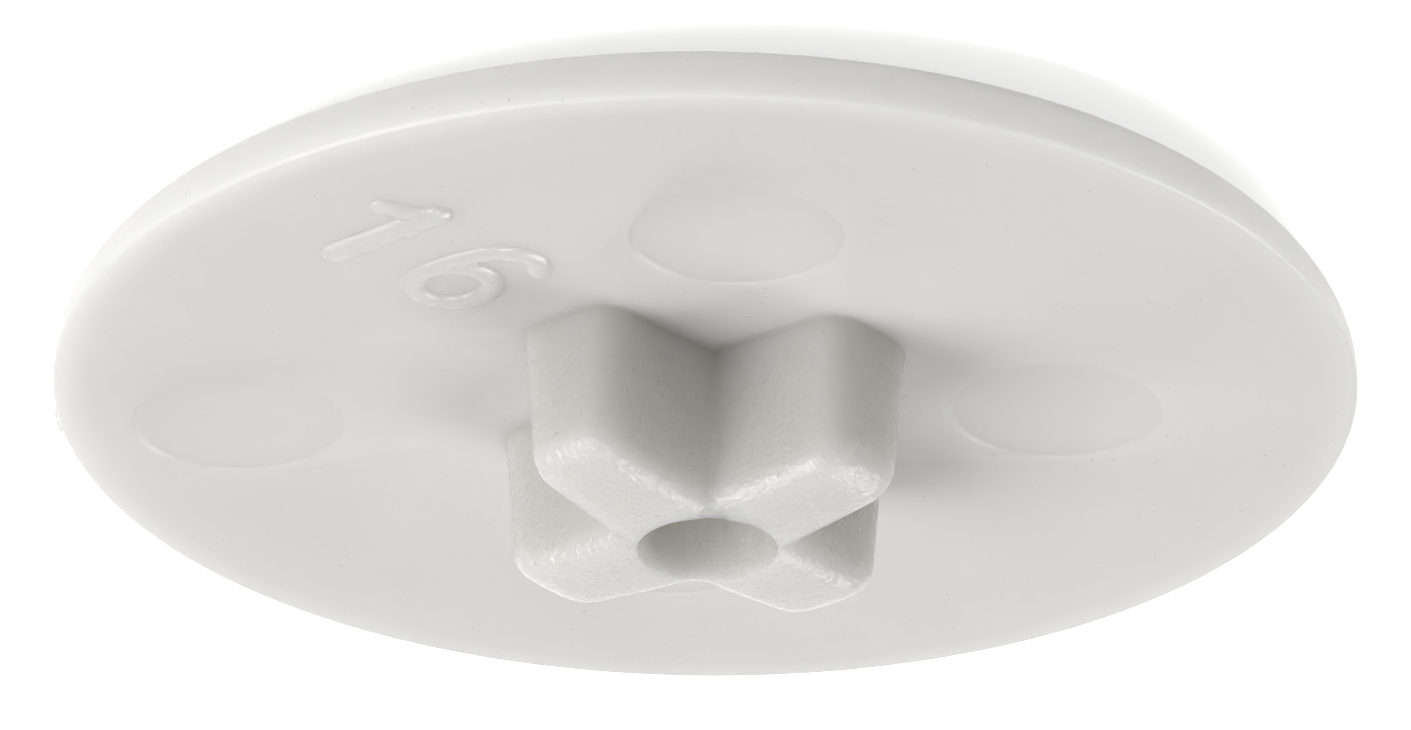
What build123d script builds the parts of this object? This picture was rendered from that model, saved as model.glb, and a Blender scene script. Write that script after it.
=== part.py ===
from build123d import *

import os
from math import asin, degrees, radians, tan

# Press-in cover cap for a cross-recessed screw, moulded in one piece.
# It lies on the low dome of its show face, and the cross peg stands up from its underside.
# The lobes of the peg run along X and Y, and the origin is the lowest point of the dome.
# All sizes are in millimetres and all angles in degrees.

# Disc
cap_diameter = 12.0
dome_height = 0.30
rim_round = 0.64
rim_corner = 0.05
rim_land = 0.02
margin_width = 0.60
margin_drop = 0.02

# Cross peg
peg_diameter = 4.20
peg_height = 1.60
peg_draft = 3.4
lobe_width_at_axis = 1.42
lobe_narrowing = 4.3
lobe_corner = 0.32
notch_corner = 0.05
end_crown = 0.14
end_round = 0.30
foot_round = 0.04

# Blind hole that cores the peg out from its end
core_diameter = 1.30
core_floor = 0.22

# Round marks of the ejector pins, sunk a little into the underside between the lobes
mark_diameter = 1.95
mark_depth = 0.03
mark_reach = 3.25
mark_angles = (135, 225, 315)

# The mark that lies further out, in line with the gate on the rim
gate_mark_reach = 4.35
gate_angle = 59

# Heights of the disc, which follow from the roundings of the rim
cap_radius = cap_diameter / 2
dome_radius = (cap_radius**2 + dome_height**2) / (2 * dome_height)
dome_slope = degrees(asin(cap_radius / dome_radius))
rim_round_height = rim_round / tan(radians(45 + dome_slope / 2))
rim_height = dome_height + rim_round_height + rim_land + rim_corner
face_height = rim_height + margin_drop

# Sizes of the peg, which follow from its diameter, its draft and the narrowing of its lobes
peg_radius = peg_diameter / 2
peg_end = face_height + peg_height
end_radius = peg_radius - peg_height * tan(radians(peg_draft))
end_crown_radius = (end_radius**2 + end_crown**2) / (2 * end_crown)
lobe_half_width = lobe_width_at_axis / 2
bar_reach = peg_diameter
bar_end_half_width = lobe_half_width - bar_reach * tan(radians(lobe_narrowing))
core_depth = peg_height - core_floor


def distance_from_axis(edge):
    """Distance of an edge's middle from the cap's own axis."""
    middle = edge @ 0.5
    return Vector(middle.X, middle.Y).length


def runs_up_the_peg(edge):
    """Whether an edge climbs from the foot of the peg to its end."""
    return abs((edge @ 1).Z - (edge @ 0).Z) > peg_height / 2


def polar_place(reach, angle):
    """Point at a distance from the axis and at an angle from X."""
    return Vector(reach, 0).rotate(Axis.Z, angle)


with BuildPart() as peg:
    # Two bars with drafted flanks, crossed at the axis, where each of them is widest
    seat = Plane.XY.offset(face_height)
    with BuildSketch(seat, seat.rotated((0, 0, 90))) as bars:
        Polygon(
            (-bar_reach, -bar_end_half_width),
            (0, -lobe_half_width),
            (bar_reach, -bar_end_half_width),
            (bar_reach, bar_end_half_width),
            (0, lobe_half_width),
            (-bar_reach, bar_end_half_width),
            align=None,
        )
    extrude(amount=peg_height, taper=peg_draft)

    # Drafted tips of the lobes and the low crown of the peg's end
    with BuildSketch(Plane.XZ) as turned_section:
        with BuildLine():
            foot = Line((0, face_height), (peg_radius, face_height))
            tip = Line(foot @ 1, (end_radius, peg_end - end_crown))
            RadiusArc(tip @ 1, (0, peg_end), -end_crown_radius)
            Line((0, peg_end), foot @ 0)
        make_face()
    revolve(axis=Axis.Z, mode=Mode.INTERSECT)

    # Rounds of the upright corners, of the notches between lobes and of the peg's end
    fillet(peg.edges().filter_by(runs_up_the_peg).group_by(distance_from_axis)[-1], radius=lobe_corner)
    fillet(peg.edges().filter_by(runs_up_the_peg).group_by(distance_from_axis)[0], radius=notch_corner)
    fillet(peg.faces().sort_by(Axis.Z)[-1].edges(), radius=end_round)

with BuildPart() as cover_cap:
    # Half section of the disc: dome below, upright rim, sloping margin and flat underside on top
    with BuildSketch(Plane.XZ) as half_section:
        with BuildLine():
            dome = RadiusArc((0, 0), (cap_radius, dome_height), -dome_radius)
            rim = Line(dome @ 1, (cap_radius, rim_height))
            margin = TangentArc((cap_radius - margin_width, face_height), rim @ 1, tangent=(1, 0))
            underside = Line(margin @ 0, (0, face_height))
            Line(underside @ 1, dome @ 0)
        make_face()
        fillet(half_section.vertices().group_by(Axis.X)[-1].sort_by(Axis.Y)[-1], radius=rim_corner)
        fillet(half_section.vertices().group_by(Axis.X)[-1].sort_by(Axis.Y)[0], radius=rim_round)
    revolve(axis=Axis.Z)

    # The peg stands on the underside with a small round at its foot
    add(peg.part)
    underside_face = cover_cap.faces().filter_by(GeomType.PLANE).sort_by(SortBy.AREA)[-1]
    fillet(underside_face.inner_wires()[0].edges(), radius=foot_round)

    # Blind hole in the peg's end
    with Locations((0, 0, peg_end)):
        Hole(core_diameter / 2, depth=core_depth)

    # Ejector marks: three between lobes and one by the gate
    mark_places = [polar_place(mark_reach, angle) for angle in mark_angles]
    mark_places.append(polar_place(gate_mark_reach, gate_angle))
    with BuildSketch(seat) as marks:
        with Locations(*mark_places):
            Circle(mark_diameter / 2)
    extrude(amount=-mark_depth, mode=Mode.SUBTRACT)

cover_cap.part.label = "cover_cap"

os.makedirs("parts", exist_ok=True)
export_step(cover_cap.part, "parts/cover_cap.step")
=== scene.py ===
"""Visual model of a moulded screw cover cap.

The cap is one piece: a thin round disc with a cored cross peg on its underside.
Lengths are in millimetres, apart from those of the studio whose names or comments say metres.
They become metres where a mesh is made.
"""

import logging
import math
from dataclasses import dataclass, field
from enum import Enum
from functools import cached_property
from typing import Callable, Sequence

import bmesh
import bpy
from mathutils import Matrix, Vector


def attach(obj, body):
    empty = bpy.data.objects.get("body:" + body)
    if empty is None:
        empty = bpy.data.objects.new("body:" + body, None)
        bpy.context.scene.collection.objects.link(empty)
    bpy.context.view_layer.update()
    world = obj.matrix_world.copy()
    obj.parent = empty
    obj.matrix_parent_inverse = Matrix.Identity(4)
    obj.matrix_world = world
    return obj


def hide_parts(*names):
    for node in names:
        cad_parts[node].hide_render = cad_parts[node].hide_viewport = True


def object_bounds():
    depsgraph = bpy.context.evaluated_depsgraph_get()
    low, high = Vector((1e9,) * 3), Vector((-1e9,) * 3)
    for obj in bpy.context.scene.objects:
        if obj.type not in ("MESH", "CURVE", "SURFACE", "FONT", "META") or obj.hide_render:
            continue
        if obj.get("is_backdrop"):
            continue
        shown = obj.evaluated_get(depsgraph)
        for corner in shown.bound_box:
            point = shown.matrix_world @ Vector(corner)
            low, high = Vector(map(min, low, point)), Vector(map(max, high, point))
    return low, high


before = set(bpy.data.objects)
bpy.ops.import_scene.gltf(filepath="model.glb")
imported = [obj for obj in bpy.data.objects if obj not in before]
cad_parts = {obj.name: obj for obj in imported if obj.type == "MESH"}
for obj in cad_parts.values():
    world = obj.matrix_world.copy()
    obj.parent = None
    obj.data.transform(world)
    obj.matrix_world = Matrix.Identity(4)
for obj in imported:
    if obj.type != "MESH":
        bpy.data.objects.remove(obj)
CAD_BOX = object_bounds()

LOG = logging.getLogger("cover_cap")
MM = 0.001
FULL_TURN = 2 * math.pi

# How near two points are when they are welded, and when they count as on an end or on a wall
WELD_MM = 0.0001
NEAR_MM = 0.0005
NEAR_WALL_MM = 0.001

# A direction in which no two points of the cap lie equally far
ORDER_AXIS = Vector((0.9137, 1.3719, 1.7773))

# Sockets of the Mix node that carry colours, which share their names with those for other kinds
MIX_BASE_COLOUR = 6
MIX_TOP_COLOUR = 7
MIX_RESULT_COLOUR = 2

Pair = tuple[float, float]
Colour = tuple[float, float, float]


class Cut(Enum):
    """How a tool body changes the piece that it meets."""

    ADD = "UNION"
    REMOVE = "DIFFERENCE"


def deselect_all() -> None:
    """Leaves edit mode and clears the selection."""
    if bpy.context.object and bpy.context.object.mode != "OBJECT":
        bpy.ops.object.mode_set(mode="OBJECT")
    bpy.ops.object.select_all(action="DESELECT")


def take_up(piece: bpy.types.Object) -> None:
    """Makes a piece the only selected and the active one."""
    deselect_all()
    piece.select_set(True)
    bpy.context.view_layer.objects.active = piece


def edit(piece: bpy.types.Object, select_mode: str = "VERT") -> None:
    """Enters edit mode on a piece with nothing selected.

    Args:
        piece: The object to edit.
        select_mode: VERT, EDGE or FACE.
    """
    take_up(piece)
    bpy.ops.object.mode_set(mode="EDIT")
    bpy.ops.mesh.select_mode(type=select_mode)
    bpy.ops.mesh.select_all(action="DESELECT")


def end_edit() -> None:
    """Leaves edit mode."""
    bpy.ops.object.mode_set(mode="OBJECT")


def select_parts(
    piece: bpy.types.Object,
    layer: str,
    wanted: Callable[[bpy.types.bpy_struct], bool],
) -> None:
    """Selects the vertices, edges or faces of the edited piece that pass a test.

    Args:
        piece: The object in edit mode.
        layer: verts, edges or faces.
        wanted: The test that an element has to pass.
    """
    mesh = bmesh.from_edit_mesh(piece.data)
    mesh.normal_update()
    for element in [*mesh.verts, *mesh.edges, *mesh.faces]:
        element.select = False
    found = [element for element in getattr(mesh, layer) if wanted(element)]
    for element in found:
        element.select_set(True)
    bmesh.update_edit_mesh(piece.data)


def settle_order(piece: bpy.types.Object) -> None:
    """Sorts the edited piece's elements by their places, so that each run goes on alike."""
    mesh = bmesh.from_edit_mesh(piece.data)
    mesh.verts.sort(key=lambda vertex: vertex.co.dot(ORDER_AXIS))
    mesh.edges.sort(key=lambda edge: (edge.verts[0].co + edge.verts[1].co).dot(ORDER_AXIS))
    mesh.faces.sort(key=lambda face: face.calc_center_median().dot(ORDER_AXIS))
    bmesh.update_edit_mesh(piece.data)


def place_in_mesh(piece: bpy.types.Object) -> None:
    """Moves an object's place, turn and scale into its mesh."""
    take_up(piece)
    bpy.ops.object.transform_apply(location=True, rotation=True, scale=True)


def apply_modifiers(piece: bpy.types.Object) -> None:
    """Applies every modifier of a piece in order."""
    take_up(piece)
    for name in [modifier.name for modifier in piece.modifiers]:
        bpy.ops.object.modifier_apply(modifier=name)


def combine(piece: bpy.types.Object, tool: bpy.types.Object, cut: Cut) -> None:
    """Joins a tool body to a piece, or cuts it out of the piece, and removes the tool.

    Args:
        piece: The body that is kept.
        tool: The body that is used up.
        cut: What the tool does.
    """
    modifier = piece.modifiers.new("combine", "BOOLEAN")
    modifier.operation = cut.value
    modifier.solver = "EXACT"
    modifier.object = tool
    apply_modifiers(piece)
    bpy.data.objects.remove(tool)
    edit(piece, "FACE")
    settle_order(piece)
    select_parts(piece, "faces", lambda face: len(face.verts) > 4)
    bpy.ops.mesh.quads_convert_to_tris(quad_method="BEAUTY", ngon_method="BEAUTY")
    end_edit()


def metres(span: Pair) -> Pair:
    """The two ends of a span in millimetres, in metres."""
    return span[0] * MM, span[1] * MM


def close_seams(piece: bpy.types.Object, reach_mm: float = 0.0002) -> None:
    """Merges doubled vertices and turns every face outwards.

    Args:
        piece: The closed mesh to clean.
        reach_mm: How near two vertices are when they count as one.
    """
    edit(piece)
    bpy.ops.mesh.select_all(action="SELECT")
    bpy.ops.mesh.remove_doubles(threshold=reach_mm * MM)
    bpy.ops.mesh.dissolve_degenerate(threshold=reach_mm * MM)
    bpy.ops.mesh.select_all(action="SELECT")
    bpy.ops.mesh.normals_make_consistent(inside=False)
    settle_order(piece)
    end_edit()


def report(piece: bpy.types.Object) -> None:
    """Logs a piece's size and whether its mesh is closed."""
    mesh = bmesh.new()
    mesh.from_mesh(piece.data)
    open_edges = sum(1 for edge in mesh.edges if not edge.is_manifold)
    triangles = sum(len(face.verts) - 2 for face in mesh.faces)
    LOG.info(
        "%s: %d triangles, %d open edges, volume %.3f mm3",
        piece.name, triangles, open_edges, mesh.calc_volume() / MM**3,
    )
    mesh.free()


def set_loop(piece: bpy.types.Object, places: Sequence[Vector]) -> None:
    """Moves the selected loop of vertices, in order of their angle from X, to new places.

    Args:
        piece: The object in edit mode.
        places: One place for each vertex, in metres.
    """
    mesh = bmesh.from_edit_mesh(piece.data)
    loop = [vertex for vertex in mesh.verts if vertex.select]
    loop.sort(key=lambda vertex: math.atan2(vertex.co.y, vertex.co.x) % FULL_TURN)
    for vertex, place in zip(loop, places, strict=True):
        vertex.co = place
    bmesh.update_edit_mesh(piece.data)


def turned_body(name: str, section: Sequence[Pair], steps: int) -> bpy.types.Object:
    """Turns a half section about the Z axis, as on a lathe.

    The section is drawn by extruding one vertex from point to point, and spun a full turn.
    An end of the section that lies away from the axis is closed with one flat face.

    Args:
        name: Name of the new object.
        section: Points (radius, height) in millimetres from the first end to the last.
        steps: Segments round the axis.

    Returns:
        The new closed object.
    """
    deselect_all()
    bpy.ops.mesh.primitive_plane_add(size=MM, location=(0, 0, 0))
    piece = bpy.context.object
    piece.name = name
    edit(piece)
    bpy.ops.mesh.select_all(action="SELECT")
    bpy.ops.mesh.merge(type="CENTER")
    radius, height = section[0]
    bpy.ops.transform.translate(value=(radius * MM, 0, height * MM))
    for (r0, z0), (r1, z1) in zip(section, section[1:]):
        bpy.ops.mesh.extrude_region_move(
            TRANSFORM_OT_translate={"value": ((r1 - r0) * MM, 0, (z1 - z0) * MM)}
        )
    bpy.ops.mesh.select_all(action="SELECT")
    bpy.ops.mesh.spin(steps=steps, angle=FULL_TURN, center=(0, 0, 0), axis=(0, 0, 1))
    bpy.ops.mesh.select_all(action="SELECT")
    bpy.ops.mesh.remove_doubles(threshold=WELD_MM * MM)
    near = NEAR_MM * MM
    for r, z in (section[0], section[-1]):
        if r > 0:
            select_parts(
                piece, "verts",
                lambda v, r=r, z=z: abs(v.co.z - z * MM) < near
                and abs(v.co.xy.length - r * MM) < near,
            )
            bpy.ops.mesh.edge_face_add()
    bpy.ops.mesh.select_all(action="SELECT")
    bpy.ops.mesh.normals_make_consistent(inside=False)
    end_edit()
    return piece


def arc(centre: Pair, radius: float, start: float, end: float, steps: int) -> list[Pair]:
    """Points along an arc.

    Args:
        centre: Centre of the arc.
        radius: Its radius.
        start: Angle of the first point, in degrees.
        end: Angle of the last point, in degrees.
        steps: Number of chords.

    Returns:
        The points, ends included.
    """
    turns = [math.radians(start + (end - start) * i / steps) for i in range(steps + 1)]
    return [(centre[0] + radius * math.cos(t), centre[1] + radius * math.sin(t)) for t in turns]


def direction(bearing: float, elevation: float) -> Vector:
    """Unit vector towards a bearing from X and an elevation above the floor, both in degrees."""
    b = math.radians(bearing)
    e = math.radians(elevation)
    return Vector((math.cos(b) * math.cos(e), math.sin(b) * math.cos(e), math.sin(e)))


def rolled_in(climb: float, radius: float) -> float:
    """How far a round has drawn a wall in at a height above the round's start.

    Args:
        climb: Height above the start. Below it the wall is still straight.
        radius: Radius of the round, which is also its whole height.

    Returns:
        The distance.
    """
    share = min(1.0, max(0.0, climb / radius))
    return radius * (1 - math.sqrt(1 - share**2))


@dataclass
class Disc:
    """The thin round plate: a low dome below, a rounded rim and a flat underside on top."""

    diameter: float = 12.0
    dome_height: float = 0.30
    rim_round: float = 0.64
    rim_corner: float = 0.05
    rim_land: float = 0.02
    margin_width: float = 0.60
    margin_drop: float = 0.02
    steps: int = 288
    dome_steps: int = 24
    round_steps: int = 20
    margin_steps: int = 10
    corner_steps: int = 6

    @property
    def radius(self) -> float:
        """Radius of the disc."""
        return self.diameter / 2

    @property
    def dome_radius(self) -> float:
        """Radius of the sphere that the show face is part of."""
        return (self.radius**2 + self.dome_height**2) / (2 * self.dome_height)

    @property
    def rim_height(self) -> float:
        """Height of the rim's upper corner."""
        slope = math.degrees(math.asin(self.radius / self.dome_radius))
        round_height = self.rim_round / math.tan(math.radians(45 + slope / 2))
        return self.dome_height + round_height + self.rim_land + self.rim_corner

    @property
    def face_height(self) -> float:
        """Height of the flat underside."""
        return self.rim_height + self.margin_drop

    def section(self) -> list[Pair]:
        """Half section from the axis below, round the rim, to the edge of the flat face.

        Returns:
            Points (radius, height) in millimetres.
        """
        dome_middle = (0.0, self.dome_radius)
        round_x = self.radius - self.rim_round
        round_z = self.dome_radius - math.sqrt((self.dome_radius - self.rim_round) ** 2 - round_x**2)
        touch = -math.degrees(math.atan2(self.dome_radius - round_z, round_x))
        dome = arc(dome_middle, self.dome_radius, -90, touch, self.dome_steps)
        lower = arc((round_x, round_z), self.rim_round, touch, 0, self.round_steps)
        margin_edge = self.radius - self.margin_width
        margin_radius = (self.margin_width**2 + self.margin_drop**2) / (2 * self.margin_drop)
        margin_sweep = math.degrees(math.asin((self.margin_width - self.rim_corner) / margin_radius))
        margin_middle = (margin_edge, self.face_height - margin_radius)
        margin = arc(margin_middle, margin_radius, 90 - margin_sweep, 90, self.margin_steps)
        corner_middle = (self.radius - self.rim_corner, margin[0][1] - self.rim_corner)
        upper = arc(corner_middle, self.rim_corner, 0, 90 - margin_sweep, self.corner_steps)
        return [(0.0, 0.0), *dome[1:], *lower[1:], *upper, *margin[1:]]

    def build(self) -> bpy.types.Object:
        """Turns the disc.

        Returns:
            The closed disc.
        """
        return turned_body("cap_body", self.section(), self.steps)


@dataclass
class CrossPeg:
    """The cross peg: four drafted lobes with rounded corners, a crowned end and a cored hole."""

    seat: float
    diameter: float = 4.20
    height: float = 1.60
    draft: float = 3.4
    width_at_axis: float = 1.42
    narrowing: float = 4.3
    tip_corner: float = 0.32
    notch_corner: float = 0.05
    end_crown: float = 0.14
    end_round: float = 0.27
    tip_round: float = 0.42
    foot_round: float = 0.02
    notch_flare: float = 0.9
    sink: float = 0.15
    hub: float = 0.30
    hole_diameter: float = 1.30
    hole_shift: Pair = (-0.026, -0.031)
    hole_floor: float = 0.22
    hole_lip: float = 0.012
    lip_angle: float = 40.0
    notch_steps: int = 3
    flank_steps: int = 10
    corner_steps: int = 12
    tip_steps: int = 6
    foot_steps: int = 5
    draft_steps: int = 4
    end_steps: int = 22
    crown_rings: int = 9
    hole_steps: int = 160
    lip_steps: int = 3

    @property
    def end(self) -> float:
        """Height of the crown's highest point."""
        return self.seat + self.height

    def half_lobe(self, inset: float, tip_inset: float, corner: float, notch: float) -> list[Vector]:
        """Outline of half a lobe, from the middle of a notch to the middle of the tip.

        Args:
            inset: How far the flank lies inside that of the foot.
            tip_inset: The same for the tip.
            corner: Radius of the tip's corner.
            notch: Radius of the notch.

        Returns:
            Points in millimetres, for the lobe on the X axis.
        """
        lean = math.radians(self.narrowing)
        across = Vector((math.sin(lean), math.cos(lean)))
        along = Vector((math.cos(lean), -math.sin(lean)))
        flank = self.width_at_axis / 2 * math.cos(lean) - inset
        notch_middle = Vector((1, 1)) * (flank + notch) / (across.x + across.y)
        reach = self.diameter / 2 - tip_inset - corner
        deep = flank - corner
        corner_middle = deep * across + math.sqrt(reach**2 - deep**2) * along
        corner_end = math.atan2(corner_middle.y, corner_middle.x)

        def sweep(middle: Vector, radius: float, start: float, end: float, steps: int) -> list[Vector]:
            """Points along an arc whose ends are angles in radians."""
            turns = [start + (end - start) * i / steps for i in range(steps + 1)]
            return [middle + radius * Vector((math.cos(t), math.sin(t))) for t in turns]

        notch_end = 1.5 * math.pi - lean
        points = sweep(notch_middle, notch, 1.25 * math.pi, notch_end, self.notch_steps)
        corner_points = sweep(
            corner_middle, corner, math.pi / 2 - lean, corner_end, self.corner_steps
        )
        start = points[-1]
        for i in range(1, self.flank_steps):
            points.append(start.lerp(corner_points[0], i / self.flank_steps))
        points += corner_points
        tip_radius = self.diameter / 2 - tip_inset
        points += sweep(Vector((0, 0)), tip_radius, corner_end, 0, self.tip_steps)[1:]
        return points

    def outline(self, inset: float, tip_inset: float, corner: float, notch: float) -> list[Vector]:
        """Outline of the whole cross, in order of its angle from X.

        Args:
            inset: How far the flanks lie inside those of the foot.
            tip_inset: The same for the tips.
            corner: Radius of the tips' corners.
            notch: Radius of the notches.

        Returns:
            Points in millimetres.
        """
        upper = self.half_lobe(inset, tip_inset, corner, notch)[::-1]
        lobe = [Vector((p.x, -p.y)) for p in upper[:0:-1]] + upper[:-1]
        points = []
        for turn in range(4):
            quarter = Matrix.Rotation(turn * math.pi / 2, 2)
            points += [quarter @ point for point in lobe]
        first = len(lobe) // 2
        return points[first:] + points[:first]

    def levels(self) -> list[tuple[float, list[Vector]]]:
        """Outlines of the peg from below its foot to its end.

        Returns:
            Heights in millimetres with the outline at each.
        """
        made = []

        def level(height: float, inset: float, tip_inset: float, corner: float, notch: float) -> None:
            """Adds the outline at a height above the seat."""
            made.append((self.seat + height, self.outline(inset, tip_inset, corner, notch)))

        def flared(height: float, out: float) -> None:
            """Adds the outline at a height where the foot has flared out."""
            notch = self.notch_corner - self.notch_flare * out
            level(height, -out, -out, self.tip_corner + out, notch)

        flare = self.foot_round
        flared(-self.sink, flare)
        for i in range(self.foot_steps + 1):
            turn = math.radians(90 * i / self.foot_steps)
            flared(flare * (1 - math.cos(turn)), flare * (1 - math.sin(turn)))
        slope = math.tan(math.radians(self.draft))
        tip_shoulder = self.height - self.tip_round
        flank_shoulder = self.height - self.end_round
        rise = tip_shoulder - flare
        heights = [flare + rise * i / self.draft_steps for i in range(1, self.draft_steps + 1)]
        heights += [
            tip_shoulder + self.tip_round * math.sin(math.radians(90 * i / self.end_steps))
            for i in range(1, self.end_steps + 1)
        ]
        for up in heights:
            rolled = rolled_in(up - flank_shoulder, self.end_round)
            tip_rolled = rolled_in(up - tip_shoulder, self.tip_round)
            flank_drawn = (min(up, flank_shoulder) - flare) * slope
            tip_drawn = (min(up, tip_shoulder) - flare) * slope
            level(
                up, flank_drawn + rolled, tip_drawn + tip_rolled,
                self.tip_corner - rolled, self.notch_corner + rolled,
            )
        return made

    def crown(self, reach: float) -> float:
        """How much lower the crowned end is than its middle.

        Args:
            reach: Distance from the axis in millimetres.

        Returns:
            The drop in millimetres.
        """
        end_radius = self.diameter / 2 - self.height * math.tan(math.radians(self.draft))
        crown_radius = (end_radius**2 + self.end_crown**2) / (2 * self.end_crown)
        return crown_radius - math.sqrt(crown_radius**2 - reach**2)

    def crowned(self, point: Vector, height: float) -> Vector:
        """A point of the peg, lowered towards the crown above the shoulder.

        Args:
            point: Its place across the axis.
            height: Its height on the uncrowned peg.

        Returns:
            The place in metres.
        """
        shoulder = self.end - self.tip_round
        share = max(0.0, (height - shoulder) / self.tip_round)
        drop = share * self.crown(point.length)
        return Vector((point.x, point.y, height - drop)) * MM

    def build(self) -> bpy.types.Object:
        """Draws the peg up from its foot's outline, level by level, and cuts its hole.

        Returns:
            The closed peg. Its foot is sunk into the disc.
        """
        levels = self.levels()
        end_height, end_outline = levels[-1]
        hub = [point.normalized() * self.hub for point in end_outline]
        for i in range(1, self.crown_rings + 1):
            share = i / self.crown_rings
            ring = [p.lerp(q, share) for p, q in zip(end_outline, hub)]
            levels.append((end_height, ring))
        deselect_all()
        bpy.ops.mesh.primitive_circle_add(
            vertices=len(end_outline), radius=self.diameter * MM, fill_type="NGON"
        )
        piece = bpy.context.object
        piece.name = "peg"
        edit(piece)
        bpy.ops.mesh.select_all(action="SELECT")
        set_loop(piece, [self.crowned(p, levels[0][0]) for p in levels[0][1]])
        for height, outline in levels[1:]:
            bpy.ops.mesh.extrude_region_move()
            set_loop(piece, [self.crowned(p, height) for p in outline])
        end_edit()
        close_seams(piece)
        combine(piece, self.hole(), Cut.REMOVE)
        self.round_lip(piece)
        return piece

    def hole(self) -> bpy.types.Object:
        """The tool that cuts the blind hole.

        Returns:
            A cylinder from the hole's floor to above the end.
        """
        deselect_all()
        depth = self.height - self.hole_floor
        bpy.ops.mesh.primitive_cylinder_add(
            vertices=self.hole_steps,
            radius=self.hole_diameter / 2 * MM,
            depth=2 * depth * MM,
            location=(self.hole_shift[0] * MM, self.hole_shift[1] * MM, self.end * MM),
        )
        return bpy.context.object

    def round_lip(self, piece: bpy.types.Object) -> None:
        """Takes the sharpness off the hole's mouth.

        Args:
            piece: The peg with its hole.
        """
        close_seams(piece)
        edit(piece, "EDGE")
        low = (self.end - self.end_round) * MM
        rim = self.hole_diameter / 2 * MM
        middle = Vector(self.hole_shift) * MM
        sharp = math.radians(self.lip_angle)

        def at_mouth(vertex: bmesh.types.BMVert) -> bool:
            """Whether a vertex lies on the hole's wall, near the peg's end."""
            return abs((vertex.co.xy - middle).length - rim) < NEAR_WALL_MM * MM and vertex.co.z > low

        select_parts(
            piece, "edges",
            lambda edge: all(at_mouth(vertex) for vertex in edge.verts)
            and edge.is_manifold and edge.calc_face_angle() > sharp,
        )
        bpy.ops.mesh.bevel(
            offset=self.hole_lip * MM, segments=self.lip_steps, affect="EDGES", clamp_overlap=True
        )
        end_edit()


@dataclass
class EjectorMark:
    """A shallow round mark that an ejector pin has left in the underside.

    The wall is a line of points: (share of the slope beyond the radius, share of the depth).
    """

    reach: float
    angle: float
    seat: float
    diameter: float = 1.95
    depth: float = 0.03
    slope: float = 0.045
    wall: tuple[Pair, ...] = ((-0.6, 0.0), (-0.45, 0.08), (-0.2, 0.35), (0.15, 0.80))
    wall_end: float = 0.4
    above: float = 0.05
    steps: int = 96

    def build(self) -> bpy.types.Object:
        """Makes the tool that sinks the mark.

        Returns:
            A low turned body with a sloping, rounded edge.
        """
        radius = self.diameter / 2
        floor = self.seat - self.depth
        section = [
            (0.0, floor),
            *((radius + out * self.slope, floor + up * self.depth) for out, up in self.wall),
            (radius + self.wall_end * self.slope, self.seat),
            (radius + self.slope, self.seat + self.above),
            (0.0, self.seat + self.above),
        ]
        piece = turned_body("mark", section, self.steps)
        turn = math.radians(self.angle)
        piece.location = (self.reach * math.cos(turn) * MM, self.reach * math.sin(turn) * MM, 0)
        place_in_mesh(piece)
        return piece


@dataclass(frozen=True)
class Stroke:
    """One stroke of a raised digit, as a smooth line through points.

    Points are (across, up) in the digit's own plane, in millimetres from its middle.
    """

    points: tuple[Pair, ...]
    width: float
    closed: bool = False


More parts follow.
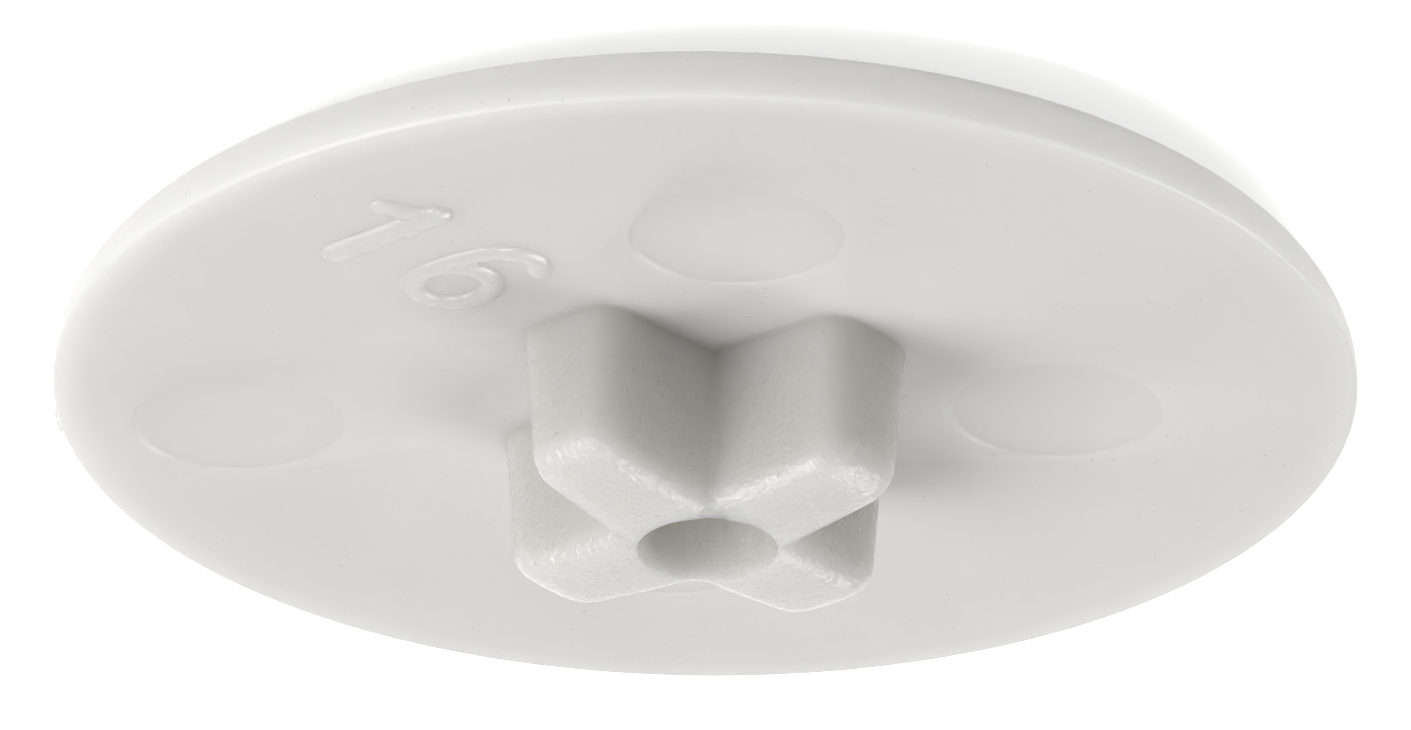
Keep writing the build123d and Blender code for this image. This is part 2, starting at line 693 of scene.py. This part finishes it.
@dataclass
class CavityNumber:
    """The small raised number of the mould's cavity on the underside.

    The digits stand on their own line: they read towards -X, with their tops towards -Y.
    """

    seat: float
    rise: float = 0.075
    sink: float = 0.06
    wall_power: float = 2.2
    top_power: float = 1.3
    top_share: float = 0.75
    curve_steps: int = 8
    bar_steps: int = 6
    ball_segments: int = 24
    ball_rings: int = 16
    voxel: float = 0.016
    smooth_factor: float = 0.5
    smooth_rounds: int = 4
    places: tuple[Pair, ...] = ((4.42, 0.12), (3.20, 0.05))
    digits: tuple[tuple[Stroke, ...], ...] = field(
        default_factory=lambda: (
            (
                Stroke(((0.06, -0.60), (0.06, -0.2), (0.06, 0.2), (0.06, 0.60)), 0.32),
                Stroke(((0.08, 0.60), (-0.12, 0.44), (-0.38, 0.32)), 0.25),
            ),
            (
                Stroke(
                    ((0.30, 0.52), (0.06, 0.63), (-0.20, 0.50), (-0.33, 0.18), (-0.35, -0.22)), 0.25
                ),
                Stroke(
                    (
                        (-0.35, -0.26), (-0.25, -0.01), (0.0, 0.09), (0.25, -0.01), (0.35, -0.26),
                        (0.25, -0.52), (0.0, -0.63), (-0.25, -0.52),
                    ),
                    0.25,
                    True,
                ),
            ),
        )
    )

    def point(self, place: Pair, spot: Pair) -> tuple[float, float, float]:
        """Place in metres of a spot in the plane of the digit that stands at a place."""
        return (place[0] - spot[0]) * MM, (place[1] - spot[1]) * MM, self.seat * MM

    def stroke(self, stroke: Stroke, place: Pair) -> bpy.types.Object:
        """Sweeps one stroke as a round bar and closes its ends with balls.

        Args:
            stroke: The stroke's line and width.
            place: Place of the digit's middle on the underside.

        Returns:
            The stroke as a closed mesh.
        """
        deselect_all()
        curve = bpy.data.curves.new("stroke", "CURVE")
        curve.dimensions = "3D"
        curve.twist_mode = "Z_UP"
        curve.resolution_u = self.curve_steps
        spline = curve.splines.new("BEZIER")
        spline.bezier_points.add(len(stroke.points) - 1)
        spline.use_cyclic_u = stroke.closed
        for knot, spot in zip(spline.bezier_points, stroke.points):
            knot.co = self.point(place, spot)
            knot.handle_left_type = "AUTO"
            knot.handle_right_type = "AUTO"
        curve.bevel_mode = "ROUND"
        curve.bevel_depth = stroke.width / 2 * MM
        curve.bevel_resolution = self.bar_steps
        curve.use_fill_caps = True
        piece = bpy.data.objects.new("stroke", curve)
        bpy.context.collection.objects.link(piece)
        take_up(piece)
        bpy.ops.object.convert(target="MESH")
        ends = [] if stroke.closed else [stroke.points[0], stroke.points[-1]]
        for spot in ends:
            deselect_all()
            bpy.ops.mesh.primitive_uv_sphere_add(
                segments=self.ball_segments, ring_count=self.ball_rings,
                radius=stroke.width / 2 * MM, location=self.point(place, spot),
            )
            piece.select_set(True)
            bpy.context.view_layer.objects.active = piece
            bpy.ops.object.join()
        return piece

    def relief(self, height: float) -> float:
        """Height of the finished digits where the round bars have a height.

        Args:
            height: Height on the bars, as a share of the widest bar's radius.

        Returns:
            Height over the underside in millimetres, negative inside the disc.
        """
        share = min(abs(height), 1)
        steep = 1 - (1 - share) ** self.wall_power
        if height > 0:
            soft = 1 - (1 - share * share) ** self.top_power
            return (self.top_share * soft + (1 - self.top_share) * steep) * self.rise
        return -steep * self.sink

    def build(self) -> bpy.types.Object:
        """Makes all strokes, melts them into one body and flattens it to the rise of the digits.

        Returns:
            The number, sunk a little into the underside.
        """
        strokes = [
            self.stroke(stroke, place)
            for place, digit in zip(self.places, self.digits)
            for stroke in digit
        ]
        piece = strokes[0]
        deselect_all()
        for other in strokes:
            other.select_set(True)
        bpy.context.view_layer.objects.active = piece
        bpy.ops.object.join()
        piece.name = "number"
        remesh = piece.modifiers.new("melt", "REMESH")
        remesh.mode = "VOXEL"
        remesh.voxel_size = self.voxel * MM
        smooth = piece.modifiers.new("soften", "SMOOTH")
        smooth.factor = self.smooth_factor
        smooth.iterations = self.smooth_rounds
        apply_modifiers(piece)
        half = max(stroke.width for digit in self.digits for stroke in digit) / 2
        edit(piece)
        mesh = bmesh.from_edit_mesh(piece.data)
        for vertex in mesh.verts:
            height = (vertex.co.z / MM - self.seat) / half
            vertex.co.z = (self.seat + self.relief(height)) * MM
        bmesh.update_edit_mesh(piece.data)
        end_edit()
        return piece


@dataclass
class GateStub:
    """The small broken stub on the rim where the plastic flowed in."""

    angle: float
    reach: float
    height: float
    length: float = 0.05
    width: float = 0.34
    thickness: float = 0.16
    sink: float = 0.12
    taper: tuple[float, float, float] = (1.0, 0.8, 0.7)
    edge_round: float = 0.02
    edge_steps: int = 3

    def build(self) -> bpy.types.Object:
        """Makes the stub as a small bevelled block.

        Returns:
            The stub, sunk into the rim.
        """
        deselect_all()
        bpy.ops.mesh.primitive_cube_add(size=1, location=(0, 0, 0))
        piece = bpy.context.object
        piece.name = "gate"
        piece.scale = ((self.length + self.sink) * MM, self.width * MM, self.thickness * MM)
        place_in_mesh(piece)
        edit(piece)
        select_parts(piece, "verts", lambda v: v.co.x > 0)
        bpy.ops.transform.resize(value=self.taper)
        bpy.ops.mesh.select_all(action="SELECT")
        bpy.ops.mesh.bevel(offset=self.edge_round * MM, segments=self.edge_steps, affect="EDGES")
        end_edit()
        turn = math.radians(self.angle)
        middle = self.reach + (self.length - self.sink) / 2
        piece.location = (
            middle * math.cos(turn) * MM, middle * math.sin(turn) * MM, self.height * MM
        )
        piece.rotation_euler = (0, 0, turn)
        place_in_mesh(piece)
        return piece


class Shader:
    """A node material that is built up one node at a time."""

    def __init__(self, name: str) -> None:
        """Starts an empty node material."""
        self.material = bpy.data.materials.new(name)
        self.material.use_nodes = True
        self.tree = self.material.node_tree
        self.tree.nodes.clear()
        self.output = self.node("ShaderNodeOutputMaterial")

    def node(self, kind: str, **settings: object) -> bpy.types.Node:
        """Adds a node.

        Args:
            kind: Blender's name of the node.
            settings: Properties, or values of inputs where the name is an input's.

        Returns:
            The new node.
        """
        made = self.tree.nodes.new(kind)
        for key, value in settings.items():
            name = key.replace("_", " ")
            if name in made.inputs:
                made.inputs[name].default_value = value
            else:
                setattr(made, key, value)
        return made

    def link(self, source: bpy.types.NodeSocket, target: bpy.types.NodeSocket) -> None:
        """Links an output to an input."""
        self.tree.links.new(source, target)

    @cached_property
    def point(self) -> bpy.types.NodeSocket:
        """The Object coordinates of the point that is shaded."""
        return self.node("ShaderNodeTexCoord").outputs["Object"]

    def noise(self, size_mm: float, detail: float, rough: float = 0.5) -> bpy.types.NodeSocket:
        """A noise whose spots are about size_mm across.

        Args:
            size_mm: Size of the spots in millimetres.
            detail: Octaves of finer noise.
            rough: Strength of the finer octaves.

        Returns:
            The noise, about 0 to 1.
        """
        made = self.node("ShaderNodeTexNoise", Scale=1 / (size_mm * MM), Detail=detail, Roughness=rough)
        self.link(self.point, made.inputs["Vector"])
        return made.outputs["Fac"]

    def from_axis(self) -> bpy.types.NodeSocket:
        """Distance of the point from the cap's own axis, in metres."""
        flat = self.node("ShaderNodeVectorMath", operation="MULTIPLY")
        self.link(self.point, flat.inputs[0])
        flat.inputs[1].default_value = (1, 1, 0)
        length = self.node("ShaderNodeVectorMath", operation="LENGTH")
        self.link(flat.outputs["Vector"], length.inputs[0])
        return length.outputs["Value"]

    def height(self) -> bpy.types.NodeSocket:
        """Height of the point above the cap's lowest point, in metres."""
        parts = self.node("ShaderNodeSeparateXYZ")
        self.link(self.point, parts.inputs["Vector"])
        return parts.outputs["Z"]

    def joined(
        self, operation: str, first: bpy.types.NodeSocket, second: bpy.types.NodeSocket
    ) -> bpy.types.NodeSocket:
        """Joins two values by an operation of the Math node."""
        made = self.node("ShaderNodeMath", operation=operation)
        self.link(first, made.inputs[0])
        self.link(second, made.inputs[1])
        return made.outputs["Value"]

    def both(self, first: bpy.types.NodeSocket, second: bpy.types.NodeSocket) -> bpy.types.NodeSocket:
        """Product of two values."""
        return self.joined("MULTIPLY", first, second)

    def either(self, first: bpy.types.NodeSocket, second: bpy.types.NodeSocket) -> bpy.types.NodeSocket:
        """Larger of two values."""
        return self.joined("MAXIMUM", first, second)

    def blend(
        self, share: bpy.types.NodeSocket, base: bpy.types.NodeSocket, colour: Colour
    ) -> bpy.types.NodeSocket:
        """Blends a colour over another one.

        Args:
            share: How much of the colour shows, 0 to 1.
            base: The colour below.
            colour: The colour on top.

        Returns:
            The blended colour.
        """
        mix = self.node("ShaderNodeMix", data_type="RGBA")
        self.link(share, mix.inputs["Factor"])
        self.link(base, mix.inputs[MIX_BASE_COLOUR])
        mix.inputs[MIX_TOP_COLOUR].default_value = (*colour, 1)
        return mix.outputs[MIX_RESULT_COLOUR]

    def ramp(
        self, value: bpy.types.NodeSocket, stops: Sequence[tuple[float, Colour]]
    ) -> bpy.types.NodeSocket:
        """A colour ramp.

        Args:
            value: What drives the ramp.
            stops: The two places and their colours.

        Returns:
            The ramp's colour.
        """
        made = self.node("ShaderNodeValToRGB")
        for element, (place, colour) in zip(made.color_ramp.elements, stops, strict=True):
            element.position = place
            element.color = (*colour, 1)
        self.link(value, made.inputs["Fac"])
        return made.outputs["Color"]

    def spread(
        self, value: bpy.types.NodeSocket, first: float, last: float, span: Pair
    ) -> bpy.types.NodeSocket:
        """Maps a value evenly from a span to new ends, and holds it there outside the span.

        Args:
            value: The value, such as a noise or a height.
            first: Result at the span's start.
            last: Result at the span's end.
            span: The values that give the two results.

        Returns:
            The mapped value.
        """
        made = self.node("ShaderNodeMapRange")
        made.inputs["From Min"].default_value = span[0]
        made.inputs["From Max"].default_value = span[1]
        made.inputs["To Min"].default_value = first
        made.inputs["To Max"].default_value = last
        self.link(value, made.inputs["Value"])
        return made.outputs["Result"]


def looked_at(tree: bpy.types.NodeTree) -> bpy.types.NodeSocket:
    """Tells whether a surface is seen by the camera, in a reflection or through a clear body.

    Args:
        tree: The tree to put the nodes in.

    Returns:
        A socket that is 1 for such rays and 0 for those that only bring light.
    """
    path = tree.nodes.new("ShaderNodeLightPath")
    seen = path.outputs["Is Camera Ray"]
    for name in ("Is Glossy Ray", "Is Transmission Ray"):
        either = tree.nodes.new("ShaderNodeMath")
        either.operation = "MAXIMUM"
        tree.links.new(seen, either.inputs[0])
        tree.links.new(path.outputs[name], either.inputs[1])
        seen = either.outputs["Value"]
    return seen


@dataclass(frozen=True)
class MouldedPlastic:
    """Warm light grey plastic as it comes from the mould, with a satin skin.

    The face is matt and smooth. The rim and the walls of the ejector marks shine more.
    The peg has the most gloss and a fine grain, and it begins at the foot's heights.
    """

    colour: Colour = (0.66, 0.652, 0.628)
    shade: float = 0.97
    cloud_mm: float = 2.2
    cloud_span: Pair = (0.35, 0.65)
    speck_colour: Colour = (0.30, 0.29, 0.27)
    speck_mm: float = 0.05
    speck_strength: float = 0.4
    speck_span: Pair = (0.84, 0.90)
    # Painted light: the rim's lower side is painted paler, standing in for light that shines through
    # the thin edge and bounces up from the floor.
    painted_rim_glow: Colour = (0.815, 0.808, 0.79)
    rim_reach: Pair = (5.2, 5.7)
    painted_glow_heights: Pair = (0.93, 0.965)
    refraction: float = 1.5
    depth_mm: float = 1.1
    depth_by_colour: Colour = (1.0, 0.95, 0.9)
    face_roughness: float = 0.58
    edge_roughness: float = 0.38
    peg_roughness: float = 0.24
    wall_foot_heights: Pair = (0.940, 0.944)
    wall_top_heights: Pair = (0.962, 0.968)
    foot_heights: Pair = (0.975, 0.99)
    uneven_mm: float = 0.5
    uneven_span: Pair = (0.3, 0.7)
    uneven_share: float = 0.08
    grain_mm: float = 0.07
    grain_depth_mm: float = 0.024
    grain_roughness: float = 0.6
    grain_on_face: float = 0.17
    grain_heights: Pair = (1.0, 1.3)
    swell_mm: float = 1.6
    swell_depth_mm: float = 0.02
    swell_strength: float = 0.25

    def base_colour(self, shader: Shader) -> bpy.types.NodeSocket:
        """The plastic's colour, slightly clouded, painted paler on the rim's lower side as a painted
        glow for light through the thin edge and from the floor, and with a few dark specks.

        Args:
            shader: The material to put the nodes in.

        Returns:
            The colour.
        """
        start, end = self.cloud_span
        darker = tuple(self.shade * c for c in self.colour)
        clouds = shader.noise(self.cloud_mm, detail=3.0)
        cloud = shader.ramp(clouds, ((start, darker), (end, self.colour)))
        # Painted light: a paler rim below the face, in place of light through the thin edge and from
        # the floor.
        lower = shader.spread(shader.height(), 1, 0, metres(self.painted_glow_heights))
        rim = shader.both(self.outer(shader), lower)
        plain = shader.blend(rim, cloud, self.painted_rim_glow)
        spots = shader.noise(self.speck_mm, detail=0.0)
        specks = shader.spread(spots, 0, self.speck_strength, self.speck_span)
        return shader.blend(specks, plain, self.speck_colour)

    def outer(self, shader: Shader) -> bpy.types.NodeSocket:
        """A value that rises from 0 on the face to 1 at the rim."""
        return shader.spread(shader.from_axis(), 0, 1, metres(self.rim_reach))

    def roughness(self, shader: Shader) -> bpy.types.NodeSocket:
        """The skin's roughness, which differs between the face, its edges and the peg.

        Args:
            shader: The material to put the nodes in.

        Returns:
            The roughness.
        """
        height = shader.height()
        wall = shader.both(
            shader.spread(height, 0, 1, metres(self.wall_foot_heights)),
            shader.spread(height, 1, 0, metres(self.wall_top_heights)),
        )
        edges = shader.either(self.outer(shader), wall)
        flat = shader.spread(edges, self.face_roughness, self.edge_roughness, (0, 1))
        peg_share = self.peg_roughness / self.face_roughness
        upward = shader.spread(height, 1, peg_share, metres(self.foot_heights))
        patches = shader.noise(self.uneven_mm, detail=3.0)
        low, high = 1 - self.uneven_share, 1 + self.uneven_share
        uneven = shader.spread(patches, low, high, self.uneven_span)
        return shader.both(shader.both(flat, upward), uneven)

    def relief(self, shader: Shader) -> bpy.types.NodeSocket:
        """A long low swell and a fine grain, which is much fainter on the face than on the peg.

        Args:
            shader: The material to put the nodes in.

        Returns:
            The normal.
        """
        swell = shader.node(
            "ShaderNodeBump", Strength=self.swell_strength, Distance=self.swell_depth_mm * MM
        )
        shader.link(shader.noise(self.swell_mm, detail=1.0), swell.inputs["Height"])
        grain = shader.node("ShaderNodeBump", Distance=self.grain_depth_mm * MM)
        coarse = shader.spread(shader.height(), self.grain_on_face, 1, metres(self.grain_heights))
        shader.link(coarse, grain.inputs["Strength"])
        fine = shader.noise(self.grain_mm, detail=2.0, rough=self.grain_roughness)
        shader.link(fine, grain.inputs["Height"])
        shader.link(swell.outputs["Normal"], grain.inputs["Normal"])
        return grain.outputs["Normal"]

    def material(self) -> bpy.types.Material:
        """Builds the plastic.

        Returns:
            The material.
        """
        shader = Shader("cap_plastic")
        skin = shader.node("ShaderNodeBsdfPrincipled")
        skin.inputs["IOR"].default_value = self.refraction
        skin.inputs["Subsurface Weight"].default_value = 1.0
        skin.inputs["Subsurface Radius"].default_value = self.depth_by_colour
        skin.inputs["Subsurface Scale"].default_value = self.depth_mm * MM
        shader.link(self.base_colour(shader), skin.inputs["Base Color"])
        shader.link(self.roughness(shader), skin.inputs["Roughness"])
        shader.link(self.relief(shader), skin.inputs["Normal"])
        shader.link(skin.outputs["BSDF"], shader.output.inputs["Surface"])
        return shader.material


@dataclass(frozen=True)
class StudioFloor:
    """A matt white floor that keeps the cap's shadow and looks white where it is lit.

    The lift is a white glow for the camera and for reflections, which brings no light to the cap.
    """

    colour: Colour = (0.88, 0.88, 0.88)
    lift: float = 0.72

    def material(self) -> bpy.types.Material:
        """Builds the floor's material.

        Returns:
            The material.
        """
        shader = Shader("studio_floor")
        matt = shader.node("ShaderNodeBsdfDiffuse")
        matt.inputs["Color"].default_value = (*self.colour, 1)
        glow = shader.node("ShaderNodeEmission")
        glow.inputs["Color"].default_value = (1, 1, 1, 1)
        seen = shader.node("ShaderNodeMath", operation="MULTIPLY")
        shader.link(looked_at(shader.tree), seen.inputs[0])
        seen.inputs[1].default_value = self.lift
        shader.link(seen.outputs["Value"], glow.inputs["Strength"])
        both = shader.node("ShaderNodeAddShader")
        shader.link(matt.outputs["BSDF"], both.inputs[0])
        shader.link(glow.outputs["Emission"], both.inputs[1])
        shader.link(both.outputs["Shader"], shader.output.inputs["Surface"])
        return shader.material


@dataclass
class CoverCap:
    """The whole cap: disc, peg, hole, ejector marks, cavity number and gate stub in one body."""

    disc: Disc = field(default_factory=Disc)
    plastic: MouldedPlastic = field(default_factory=MouldedPlastic)
    mark_reach: float = 3.25
    mark_angles: tuple[float, ...] = (135, 225, 315)
    gate_mark_reach: float = 4.35
    gate_angle: float = 59.0
    gate_drop: float = 0.14
    smooth_angle: float = 32.0
    normal_weight: int = 100
    seam_reach: float = 0.0005

    def build(self) -> bpy.types.Object:
        """Makes the cap as one closed mesh.

        Returns:
            The finished piece.
        """
        seat = self.disc.face_height
        body = self.disc.build()
        report(body)
        peg = CrossPeg(seat).build()
        report(peg)
        combine(body, peg, Cut.ADD)
        marks = [EjectorMark(self.mark_reach, angle, seat) for angle in self.mark_angles]
        marks.append(EjectorMark(self.gate_mark_reach, self.gate_angle, seat))
        for mark in marks:
            combine(body, mark.build(), Cut.REMOVE)
        combine(body, CavityNumber(seat).build(), Cut.ADD)
        stub = GateStub(self.gate_angle, self.disc.radius, self.disc.rim_height - self.gate_drop)
        combine(body, stub.build(), Cut.ADD)
        body.name = "cover_cap_shell"
        close_seams(body, self.seam_reach)
        self.finish(body)
        report(body)
        return body

    def finish(self, body: bpy.types.Object) -> None:
        """Smooths the piece, gives it its plastic and hands it to the frame.

        Args:
            body: The closed mesh.
        """
        take_up(body)
        bpy.ops.object.shade_smooth_by_angle(angle=math.radians(self.smooth_angle))
        weigh = body.modifiers.new("weigh", "WEIGHTED_NORMAL")
        weigh.mode = "FACE_AREA"
        weigh.weight = self.normal_weight
        weigh.keep_sharp = True
        apply_modifiers(body)
        body.data.materials.clear()
        body.data.materials.append(self.plastic.material())
        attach(body, "root")
        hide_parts("cover_cap")


@dataclass(frozen=True)
class Lamp:
    """A square lamp that faces the cap.

    Its direction is given by the turn from the camera's bearing and the elevation, in degrees.
    Its size and reach are in metres and its power is in watts.
    """

    name: str
    turn: float
    elevation: float
    size: float
    power: float
    reach: float = 1.0

    def hang(self, camera_bearing: float) -> None:
        """Hangs the lamp.

        Args:
            camera_bearing: Direction of the camera from the cap, in degrees from X.
        """
        away = direction(camera_bearing + self.turn, self.elevation)
        deselect_all()
        bpy.ops.object.light_add(
            type="AREA", location=away * self.reach, rotation=away.to_track_quat("Z", "Y").to_euler()
        )
        lamp = bpy.context.object
        lamp.name = self.name
        lamp.data.shape = "SQUARE"
        lamp.data.size = self.size
        lamp.data.energy = self.power


@dataclass
class Studio:
    """The floor, the lamps, the world and the camera.

    The camera's distance, lift and side shift are in millimetres, and its angles in degrees.
    """

    face_height: float
    distance: float = 250.0
    elevation: float = 26.45
    bearing: float = -40.15
    roll: float = 180.53
    lens: float = 694.1
    lift: float = 0.278
    side: float = 0.005
    sensor: float = 36.0
    clip_m: Pair = (0.01, 10.0)
    floor_size_m: float = 2.0
    world_light: float = 0.05
    lamps: tuple[Lamp, ...] = (
        Lamp("key", 70, 44, 0.62, 7.5),
        Lamp("fill", 232, 46, 0.45, 4.0),
        Lamp("glint", -5, 77, 0.25, 1.8),
    )

    def axes(self) -> tuple[Vector, Vector, Vector]:
        """The camera's right, up and backward directions."""
        bearing = math.radians(self.bearing)
        back = direction(self.bearing, self.elevation)
        right = Vector((-math.sin(bearing), math.cos(bearing), 0))
        turn = Matrix.Rotation(math.radians(self.roll), 3, back)
        return turn @ right, turn @ back.cross(right), back

    def camera(self) -> None:
        """Places the camera at the photograph's angle."""
        right, up, back = self.axes()
        aim = Vector((0, 0, self.face_height)) + self.lift * up + self.side * right
        place = (aim + self.distance * back) * MM
        pose = Matrix((right, up, back)).transposed()
        deselect_all()
        bpy.ops.object.camera_add(location=place, rotation=pose.to_euler())
        camera = bpy.context.object
        camera.name = "camera"
        camera.data.lens = self.lens
        camera.data.sensor_width = self.sensor
        camera.data.clip_start, camera.data.clip_end = self.clip_m
        bpy.context.scene.camera = camera

    def floor(self) -> None:
        """Lays the floor under the cap."""
        deselect_all()
        bpy.ops.mesh.primitive_plane_add(size=self.floor_size_m, location=(0, 0, 0))
        floor = bpy.context.object
        floor.name = "floor"
        floor.data.materials.append(StudioFloor().material())
        floor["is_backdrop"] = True

    def world(self) -> None:
        """Sets a faint white surround that is pure white for the camera and for reflections."""
        world = bpy.data.worlds.new("studio")
        bpy.context.scene.world = world
        world.use_nodes = True
        tree = world.node_tree
        tree.nodes.clear()
        output = tree.nodes.new("ShaderNodeOutputWorld")
        mix = tree.nodes.new("ShaderNodeMixShader")
        tree.links.new(looked_at(tree), mix.inputs["Fac"])
        for socket, strength in ((mix.inputs[1], self.world_light), (mix.inputs[2], 1.0)):
            shade = tree.nodes.new("ShaderNodeBackground")
            shade.inputs["Color"].default_value = (1, 1, 1, 1)
            shade.inputs["Strength"].default_value = strength
            tree.links.new(shade.outputs["Background"], socket)
        tree.links.new(mix.outputs["Shader"], output.inputs["Surface"])

    def build(self) -> None:
        """Sets up the whole studio."""
        self.floor()
        self.world()
        self.camera()
        for lamp in self.lamps:
            lamp.hang(self.bearing)


def main() -> None:
    """Builds the cap and its studio."""
    logging.basicConfig(level=logging.INFO, format="%(name)s %(message)s")
    cap = CoverCap()
    cap.build()
    Studio(cap.disc.face_height).build()
    bpy.context.scene.view_settings.view_transform = "Standard"
    bpy.context.view_layer.update()
    boxes = {"cad": CAD_BOX, "visual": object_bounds()}
    for name, (low, high) in boxes.items():
        LOG.info("%s box: %s mm", name, [round(length / MM, 3) for length in high - low])


if __name__ == "__main__":
    main()
